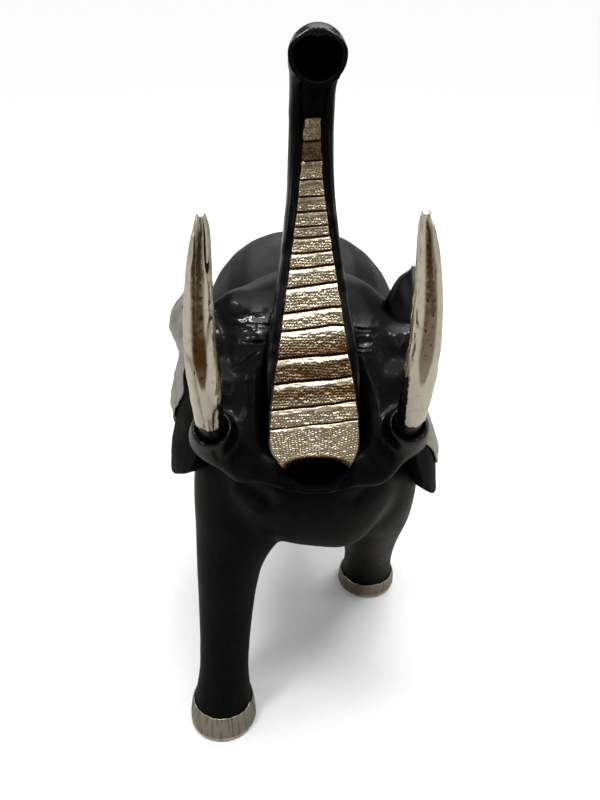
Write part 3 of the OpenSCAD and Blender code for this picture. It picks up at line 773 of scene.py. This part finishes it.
def make_strip():
    """Stepped plates of punched sheet down the trunk: each plate's lower edge stands over the one below."""
    levels, half, middle, front = strip_outline()
    top = levels[-1]
    # columns are closer together towards the sides
    v = np.sin(np.linspace(-1, 1, STRIP_COLS) * 1.25)[None, :] / math.sin(1.25)
    s = np.linspace(STRIP_FOOT, top, STRIP_ROWS)[:, None] + 0 * v

    def across(z):
        return np.interp(z, levels, middle) + v * np.interp(z, levels, half)

    arch = STRIP_FOOT + ARCH_RISE * (1 - np.abs(v) ** 2.6)
    first = STRIP_STEPS[0]
    x = across(s)
    waver = 0.42 * over_sheet(x, 0.25 * s, (7, 7, 3), 11)
    slanted = s + STRIP_SLANT * (x - MIDDLE_X) - waver * ease(s, first - 9, first)
    rise = np.clip((s - STRIP_FOOT) / (first - STRIP_FOOT), 0, 1)
    z = np.where(s < first, arch + rise * (slanted[np.argmax(s[:, 0] >= first)] - arch), slanted)
    x = across(z)
    e = (1 - np.abs(v)) * np.interp(z, levels, half)
    x = x + 0.5 * v * ease(z, 238, 246) * over_sheet(0 * x, z, (9, 9, 3.2), 6)
    z = z - 1.1 * np.abs(v) ** 5 * ease(s, top - 1.6, top)
    x = x + 0.16 * over_sheet(x, z, (40, 40, 2.6), 2) * (e < 1)
    y = np.interp(z, levels, front)
    tilt = np.interp(z, levels, np.gradient(front, levels))
    normal = unit(np.stack([0 * z, -np.ones_like(z), tilt], -1))

    uneven = over_sheet(x, z, (6, 6, 5), 33)
    relief, groove_dark, bevel_zone = (np.zeros_like(z) for _ in range(3))
    starts, stops = [STRIP_FOOT - 1] + STRIP_STEPS, STRIP_STEPS + [top + 1]
    for start, stop, proud in zip(starts, stops, [0.75] + STRIP_RELIEF):
        inside = (s >= start) & (s < stop)
        t = (s - start) / (stop - start)
        t = np.clip(t + 0.09 * uneven * (1 - np.abs(2 * t - 1)), 0, 1)
        bevel_from = max(0.55, 1 - 2.6 / (stop - start))
        drop = ease(t, bevel_from, 1.0)
        relief = np.where(inside, proud * (1 - 0.8 * drop) - 0.5 * ease(s, stop - 0.9, stop - 0.35), relief)
        bevel_zone = np.where(inside, ease(t, bevel_from - 0.05, bevel_from + 0.1), bevel_zone)
        groove_dark = np.where(inside, ease(s, stop - 1.0, stop - 0.45), groove_dark)
    marks = punched(x, s + 0.1 * x, (1.1, 0.86), 5, 0.42, slant=0.18)
    # under the first plate the marks stand in columns, which fan out upwards
    fan = 1 + 0.012 * (s - 156)
    columns = punched(s - 150, (x - MIDDLE_X) / fan, (0.86, 1.12), 8, 0.2)
    marks = np.where(s < first, columns, marks)
    upper = ease(s, 240, 246)
    worked = (1 - bevel_zone) * (1 - 0.6 * upper)
    crumple = over_sheet(x, z, (1.6, 1.6, 1.0), 21, rough)
    streaks = over_sheet(x, z, (2.4, 2.4, 0.55), 35)
    relief += worked * (0.2 * crumple - 0.42 * marks) + (1 - worked) * (0.07 * streaks + 0.05 * crumple)
    relief += 0.14 * over_sheet(x, z, (6, 6, 4), 25)
    relief += 0.25 * upper * over_sheet(x, z, (2.5, 2.5, 2.0), 27)
    relief += 0.26 * upper * over_sheet(x, z, (1.1, 1.1, 1.0), 28)
    # the edges turn back towards the wood, and the arch turns in over the mouth
    side_turn = 1.7 * fall(e, 0.0, 0.75) ** 2
    lip = 2.0 * fall(s - STRIP_FOOT, 0, 2.4) ** 2 * (1 - 0.5 * np.abs(v) ** 3)
    low_lift = 0.75 * fall(s, 164, 178)
    height = relief + 0.75 + low_lift - side_turn - lip
    face = np.stack([x, y, z], -1)
    rear = face + normal * (-0.6 - 0.5 * side_turn - 0.4 * lip)[..., None]
    behind = rear[:, 2:-2:6][:, ::-1]
    # at its foot the sheet is folded back to its own rear face, which closes the edge over the mouth
    front_rows = np.concatenate([rear[:1], face + normal * height[..., None]])
    behind = np.concatenate([behind[:1] - [0, 0, 0.02], behind])
    points = np.concatenate([front_rows, behind], axis=1)
    obj, _ = grid_object("trunk_silver", points)
    # tarnish in the punch marks and grooves; painted reflection and shade: brown bands across the plates
    # from about 167 to 192 mm and from 244 mm up; painted shade under the turned-in edge of the arch; darker
    # along the side edges
    painted_reflection_band = 1.15 * ease(s, 167, 172) * fall(s, 184, 192)
    hollow = 0.8 * marks * worked + 0.95 * groove_dark + 0.6 * painted_reflection_band * (0.25 + 0.75 * worked)
    hollow += 0.76 * ease(s, 243.6, 244.6) * (1 - 0.55 * ease(s, 250.7, 251.5))
    hollow += 0.15 * (1 - worked) * ease(over_sheet(x, z, (4, 4, 0.8), 29), -0.2, 0.8)
    hollow += 0.8 * fall(s - STRIP_FOOT, 0.2, 2.6) + 0.15 * fall(e, 0, 0.6)
    hollow = np.concatenate([hollow[:1], hollow])
    paint(obj, "hollow", np.concatenate([hollow, np.ones(behind.shape[:2])], axis=1).ravel())
    capped(obj)
    finished(obj, STRIP_SILVER, "embossed_silver", "trunk_strip")


# ---------- tusks ----------

TUSK_LENGTH, TUSK_RADIUS = 85, 5.5
FOIL_THICKNESS = 0.3


def tusk_guide(node):
    """A curve up the middle of a tusk, through its sections at six heights."""
    co, edges = read(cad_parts[node])
    low, high = co[:, 2].min(), co[:, 2].max()
    points = []
    for z in np.linspace(low + 0.16 * (high - low), high - 1.2, 6):
        p = section(co, edges, np.array([0, -95, z]), UP, 60)
        points.append((mid(p[:, 0]), mid(p[:, 1]), z))
    return points


def end_dome(points, centres, size):
    """Adds rings that round off a loft's last end."""
    direction = centres[-1] - centres[-2]
    direction /= np.linalg.norm(direction)
    last = points[-1] - centres[-1]
    rings = [
        centres[-1] + last * math.cos(a) + direction * size * math.sin(a)
        for a in np.linspace(0.25, 1.45, 6)
    ]
    return np.concatenate([points, np.array(rings)])


def make_tusk(side):
    """The lacquered tusk under the foil, which shows only at its root."""
    name = "tusk_" + SIDE_NAMES[side]
    obj = joined(name + "_wood", [name])
    remeshed(obj, 0.6)
    co, edges = read(obj)
    co = fair(co, edges, 14)
    write(obj, co + normals(obj) * (0.1 * rough(co, 4, side + 3, 2) - 0.1)[:, None])
    finished(obj, BLACK, "lacquered_wood", name)


def make_foil(side):
    """Foil wrapped round a tusk with long folds, torn off in a ragged line above its cup."""
    tusk, node = "tusk_" + SIDE_NAMES[side], "tusk_silver_" + SIDE_NAMES[side]
    rings, sides = 230, 120
    centres, back, radii, angles = loft_of(tusk, tusk_guide(tusk), rings, sides, 4.0)
    points = ring_points(centres, back, radii + 0.2, angles)
    points = end_dome(points, centres, 1.3)
    flat = points.reshape(-1, 3)
    core = np.repeat(np.vstack([centres, np.tile(centres[-1], (len(points) - rings, 1))]), sides, axis=0)
    out = flat - core
    out /= np.maximum(length(out), 1e-6)[:, None]
    theta = np.tile(angles, len(points))
    s = np.repeat(np.linspace(0, 1, len(points)), sides)
    facing = np.degrees((theta + np.pi / 2 + np.pi) % (2 * np.pi) - np.pi)  # 0 at the front
    unrolled = np.stack([np.cos(theta) * TUSK_RADIUS, np.sin(theta) * TUSK_RADIUS, s * TUSK_LENGTH], axis=1)

    def noise(size, seed):
        return ripple(unrolled, size, seed + side)

    # long folds with a sharp edge, a few shallow dents, and two rows of small beads down the front
    folds = rough(unrolled, (3.4, 3.4, 26), 30 + side, 2)
    creases = hump(np.abs(noise((3.8, 3.8, 30), 60)), 0.09)
    creases *= ease(noise((9, 9, 12), 64), -0.2, 0.3)
    dents = noise((3.2, 3.2, 5), 36)
    wander = 5 * noise((60, 60, 14), 38)
    rows = hump(facing - 11 - wander, 4) + hump(facing + 13 - wander, 5)
    beads = np.maximum(noise((1.1, 1.1, 1.3), 39), 0) * rows * ease(s, 0.42, 0.55)
    height = 0.2 * folds + 0.11 * dents - 0.3 * creases + 0.5 * beads
    facets = np.abs(noise((3.4, 3.4, 6.5), 70)) * fall(s, 0.3, 0.42)
    height += 0.42 * facets
    height *= 1 - 0.6 * ease(s, 0.96, 1)
    flat = flat + out * height[:, None]
    # the torn edge runs up the inner side, where the dark undercoat is left bare
    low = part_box(node)[0].z / MM
    inner = -side * np.cos(theta)
    bare = (0.5, 0.78) if side == LEFT else (0.82, 0.98)
    edge = low + 1.6 + 1.6 * np.sin(theta) + 23 * ease(inner, *bare)
    edge += 1.3 * noise((2.2, 2.2, 50), 50) + 0.7 * ripple(unrolled, (0.8, 0.8, 50), 53)
    edge += 3.0 * ease(inner, bare[0] - 0.04, bare[1]) * ripple(unrolled, (0.9, 0.9, 50), 55)
    gap = flat[:, 2] - edge
    flat[:, 2] -= np.where(np.abs(gap) < 0.35, gap, 0)
    shown = (gap > -0.36).reshape(len(points), sides)
    shown &= np.roll(shown, -1, axis=1)
    quads = shown[:-1] & shown[1:]
    obj, used = grid_object(SIDE_NAMES[side] + "_tusk_foil", flat.reshape(points.shape), quads)
    # painted reflection: the brown of the room in front is painted down the front of its upper two thirds
    painted_reflection = hump(facing - 2 * side - 0.7 * wander, 30 * (1 - 0.7 * fall(s, 0.3, 0.46)))
    painted_reflection = ease(painted_reflection, 0.35, 0.7) * ease(s, 0.3, 0.34) * fall(s, 0.93, 0.99)
    hollow = 0.5 * creases + 0.9 * painted_reflection * (0.8 + 0.3 * folds)
    hollow += 0.3 * fall(gap, 0.0, 1.0)
    paint(obj, "hollow", hollow[used])
    # the tip is closed, and the torn edge stays open
    capped(obj, above=235)
    thickened(obj, FOIL_THICKNESS, core[used])
    finished(obj, TUSK_SILVER, "tusk_silver", node)


# ---------- ears ----------

# Points in metres on the slanting line where each ear's sheet stops short of the ear's front edge
SHEET_END = {RIGHT: (0, -0.036, 0.15), LEFT: (0, -0.045, 0.132)}


def ear_waves(co, side):
    """Moves an ear's points in and out, so that its outline has two swags, and its root goes down
    behind the brow."""
    z = co[:, 2] + 0.25 * (co[:, 1] + 25)
    inwards = 3.6 * ease(z, 176, 188) + 2.9 * hump(z - 163.5, 6.0)
    free = ease(np.abs(co[:, 0]), 40, 48)
    inwards += 4.6 * hump(z - 139, 14) if side == LEFT else hump(z - 148, 9) + 2.0 * hump(z - 133, 9)
    co[:, 0] -= side * inwards * free * ease(-co[:, 1], -14, 8)
    root = fall(np.abs(co[:, 0]), 38, 47) * ease(co[:, 2], 160, 176)
    co[:, 2] -= (9.0 if side == RIGHT else 1.5) * root
    co[:, 2] += (3.6 if side == RIGHT else 1.3) * fall(co[:, 2], 112, 138)
    if side == LEFT:
        co += blob(co, (35.5, -30, 191), (6, 9, 7))[:, None] * np.array([-0.2, 0, 2.0])
    return co


def make_ear(side):
    """A flap of wood, thickened where it is let into the head, with shallow folds down it."""
    name = "ear_" + SIDE_NAMES[side]
    obj = joined(name + "_wood", [name, "ear_dowels_" + SIDE_NAMES[side]])
    remeshed(obj, 0.7)
    co, edges = read(obj)
    co = fair(co, edges, 22)
    write(obj, ear_waves(co, side))
    co, _ = read(obj)
    height = 0.16 * rough(co, (30, 9, 9), 7 + side, 3) + 0.07 * ripple(co, 3.5, 9)
    height += 0.22 * np.sin(co[:, 2] / 5.2 + 0.06 * co[:, 1]) * ease(co[:, 1], -30, 0)
    write(obj, co + normals(obj) * height[:, None])
    # painted shade: the lobes and the root behind the brow are painted dead black and matt
    paint(obj, "painted_shade", 0.8 * fall(co[:, 2], 172, 190) * ease(-co[:, 1], -5, 25))
    finished(obj, BLACK, "lacquered_wood", name, "ear_dowels_" + SIDE_NAMES[side])


def make_ear_silver(side):
    """Hammered, wavy sheet on an ear's outer face, scalloped at its edge."""
    name = "ear_silver_" + SIDE_NAMES[side]
    obj = joined(SIDE_NAMES[side] + "_ear_sheet", [name])
    bm = bmesh.new()
    bm.from_mesh(obj.data)
    bmesh.ops.remove_doubles(bm, verts=bm.verts, dist=1e-6)
    # the sheet stops short of the ear's front edge, and leaves a black margin that widens downwards
    halved(bm, SHEET_END[side], (0, -1, -0.45), dist=1e-5, clear_outer=True)
    bmesh.ops.holes_fill(bm, edges=[e for e in bm.edges if e.is_boundary])
    bmesh.ops.triangulate(bm, faces=[f for f in bm.faces if len(f.verts) > 4])
    bmesh.ops.subdivide_edges(bm, edges=bm.edges[:], cuts=5, use_grid_fill=True)
    bm.to_mesh(obj.data)
    bm.free()
    co, edges = read(obj)
    smooth = soften(co, edges, 4, 0.6)
    co = np.where(np.abs((smooth - co) * normals(obj)).sum(axis=1)[:, None] < 0.1, smooth, co)
    co[:, 2] += (8.0 if side == RIGHT else 1.5) * fall(co[:, 2], 118, 150)
    top = ease(co[:, 2], 176, 196) * ease(-co[:, 1], -10, 20)
    co[:, 2] -= 6.0 * top
    folds = np.sin(co[:, 2] / 3.6 + 0.9 * ripple(co, 12, 4)) * 0.3
    waves = 0.5 * ripple(co, (30, 6.5, 6), 14 + side) + 0.3 * ripple(co, (30, 2.6, 2.4), 19)
    lines = 0.16 * ripple(co, (30, 0.9, 6), 24) + 0.12 * ripple(co, 1.1, 26)
    before = co.copy()
    away = before - [column.mean() for column in before.T]
    edgeward = np.abs(away) / np.ptp(before, axis=0) * 2
    co = ear_waves(co, side)
    co[:, 0] += side * np.maximum(0.3 + folds + waves + lines, -0.1)
    scallop = 0.9 * np.sin(before[:, 2] / 2.9 + 0.7 * ripple(before, 9, 33))
    co[:, 1] += ease(edgeward[:, 1], 0.6, 1) * scallop * np.sign(away[:, 1]) * 0.8
    co[:, 2] += 0.5 * ease(edgeward[:, 2], 0.8, 1) * ripple(co, 5, 41)
    write(obj, co)
    paint(obj, "hollow", 0.65 * ease(-(folds + waves + 2 * lines), -0.1, 0.9))
    finished(obj, EAR_SILVER, "ear_silver", name)


# ---------- feet and tail ----------

BAND_ROWS, BAND_SIDES = 40, 420
BAND_BINS = 36  # directions in which a foot's outline is measured
BAND_THICKNESS = 0.45
BAND_RADIUS = 14


def make_band(foot):
    """Silver sheet round a foot, creased upright all round."""
    node = "band_" + foot
    co, edges = read(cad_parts[node])
    low, high = co[:, 2].min(), co[:, 2].max()
    levels = np.linspace(low + 0.25, high - 0.25, BAND_ROWS)
    angles = np.arange(BAND_SIDES) * 2 * np.pi / BAND_SIDES
    middle_angles = (np.arange(BAND_BINS) + 0.5) * 2 * np.pi / BAND_BINS
    centre = np.array([mid(co[:, 0]), mid(co[:, 1])])
    radii = []
    for z in levels:
        p = section(co, edges, np.array([*centre, z]), UP, 60)[:, :2] - centre
        r = length(p)
        angle = np.arctan2(p[:, 1], p[:, 0]) % (2 * np.pi)
        bins = np.floor(angle / (2 * np.pi) * BAND_BINS).astype(int)
        outer = [r[bins == b].max() if (bins == b).any() else np.nan for b in range(BAND_BINS)]
        good = np.isfinite(outer)
        radii.append(np.interp(angles, middle_angles[good], np.array(outer)[good], period=2 * np.pi))
    radii = blur(blur(np.array(radii), 3).T.copy(), 6).T
    theta = np.tile(angles, (BAND_ROWS, 1))
    z = np.repeat(levels[:, None], BAND_SIDES, axis=1)
    seed = sum(map(ord, foot))
    unrolled = np.stack([np.cos(theta) * BAND_RADIUS, np.sin(theta) * BAND_RADIUS, z], -1).reshape(-1, 3)
    creases = rough(unrolled, (0.8, 0.8, 12), seed, 2).reshape(theta.shape)
    dents = ripple(unrolled, 2.6, seed + 5).reshape(theta.shape)
    top = 0.45 * ripple(unrolled, (2.2, 2.2, 60), seed + 8).reshape(theta.shape)
    z = z + top * ease(z, low, high)
    edge = ease(z, high - 0.8, high) + fall(z, low, low + 0.9)
    radii = radii + 0.2 + 0.11 * creases + 0.08 * dents - 0.3 * edge
    points = np.stack([centre[0] + radii * np.cos(theta), centre[1] + radii * np.sin(theta), z], -1)
    obj, used = grid_object("foot_band_" + foot, points)
    hollow = 0.45 * ease(-creases, 0.0, 0.7) + 0.3 * fall(z, low, low + 1.2)
    paint(obj, "hollow", hollow.ravel()[used])
    thickened(obj, BAND_THICKNESS, [*centre, mid(levels)])
    finished(obj, FOOT_SILVER, "foot_silver", node)


def make_tail():
    obj = joined("tail_wood", ["tail"])
    remeshed(obj, 0.5)
    co, edges = read(obj)
    co = fair(co, edges, 24)
    write(obj, co)
    tuft = fall(co[:, 2], 100, 106)
    strands = 0.35 * np.sin(6 * np.arctan2(co[:, 1] - 108.5, co[:, 0] - 10) + co[:, 2] / 4)
    write(obj, co + normals(obj) * (tuft * strands + 0.08 * ripple(co, 4, 2))[:, None])
    finished(obj, BLACK, "lacquered_wood", "tail")


make_body()
make_trunk()
make_strip()
for side in (RIGHT, LEFT):
    make_tusk(side)
    make_foil(side)
    make_ear(side)
    make_ear_silver(side)
for foot in ("fore_right", "fore_left", "hind_right", "hind_left"):
    make_band(foot)
make_tail()


# ---------- floor, light and camera ----------


FLOOR_HALF = 12000
ROOM_LIGHT, ROOM_SEEN = 0.36, 0.93
# The lamps: name, place, what they point at, size in mm, and power in watts
LAMPS = [
    ("overhead", (60, -330, 950), (0, -60, 200), (200, 150), 1.3),
    ("window_right", (-300, -215, 900), (-15, -50, 185), (130, 130), 2.2),
    ("window_left", (330, -190, 880), (20, -50, 185), (90, 90), 0.9),
    ("behind", (0, 900, 620), (0, 40, 200), (900, 420), 2.4),
    ("side_right", (-700, -60, 420), (0, -20, 180), (200, 500), 0.9),
    ("side_left", (700, -60, 420), (0, -20, 180), (200, 500), 0.9),
]


def level_square(name, half):
    """A level square about the origin, with sides twice half, in metres."""
    bm = bmesh.new()
    bmesh.ops.create_grid(bm, x_segments=1, y_segments=1, size=half)
    return object_of(bm, name)


def make_floor():
    floor = level_square("floor", FLOOR_HALF * MM)
    s = Shader("pale_floor")
    tone = s.noise(7, detail=2)
    colour = s.mix(s.ramp(tone, 0.3, 0.7), (0.9, 0.9, 0.9), (0.915, 0.915, 0.915))
    floor.data.materials.append(s.matt(colour))


def area_light(name, place, target, size, power):
    data = bpy.data.lights.new(name, "AREA")
    data.shape = "RECTANGLE"
    data.size, data.size_y = (v * MM for v in size)
    data.energy = power
    light = new_object(name, data)
    light.location = Vector(place) * MM
    light.rotation_euler = (Vector(target) - Vector(place)).to_track_quat("-Z", "Y").to_euler()


def make_cards():
    """Brown and grey cards seen only in the gloss, as a table, a room and the ground would be."""
    brown = Shader("card_brown").matt((0.075, 0.042, 0.02, 1))
    grey = Shader("card_grey").matt((0.4, 0.39, 0.37, 1))
    for name, place, size, tilt, look in (
        ("room_card", (0, -900, 330), (720, 520), 90, brown),
        ("table_card", (0, -640, 4), (760, 720), 0, brown),
        ("ground_card", (0, 0, 2), (3600, 3600), 0, grey),
    ):
        card = level_square(name, 0.5)
        card.scale = (size[0] * MM, size[1] * MM, 1)
        card.location = Vector(place) * MM
        card.rotation_euler = (math.radians(tilt), 0, 0)
        card.data.materials.append(look)
        card.visible_camera = card.visible_diffuse = card.visible_shadow = False


def make_light():
    world = bpy.data.worlds.new("studio")
    bpy.context.scene.world = world
    world.use_nodes = True
    tree = world.node_tree
    sky = tree.nodes["Background"]
    sky.inputs["Color"].default_value = (1, 1, 1, 1)
    # the room beyond the floor is seen as pale as the floor, but lights the object less
    seen = tree.nodes.new("ShaderNodeLightPath")
    glow = tree.nodes.new("ShaderNodeMath")
    glow.operation = "MULTIPLY_ADD"
    glow.inputs[1].default_value, glow.inputs[2].default_value = ROOM_SEEN - ROOM_LIGHT, ROOM_LIGHT
    tree.links.new(seen.outputs["Is Camera Ray"], glow.inputs[0])
    tree.links.new(glow.outputs[0], sky.inputs["Strength"])
    sun = new_object("sky_light", bpy.data.lights.new("sky_light", "SUN"))
    sun.data.energy = 2.3
    sun.data.angle = math.radians(60)
    sun.rotation_euler = (math.radians(-12), math.radians(8), 0)
    for lamp in LAMPS:
        area_light(*lamp)


def make_camera():
    """A close view from in front and above, as a phone's camera gives."""
    data = bpy.data.cameras.new("camera")
    data.lens = 36
    data.sensor_width = 36
    data.clip_start = 0.01
    camera = new_object("camera", data)
    camera.location = Vector((-12.2, -311.2, 306)) * MM
    camera.rotation_euler = (math.radians(60), 0, math.radians(-2.06))
    bpy.context.scene.camera = camera


make_floor()
make_cards()
make_light()
make_camera()
bpy.context.scene.view_settings.view_transform = "Standard"
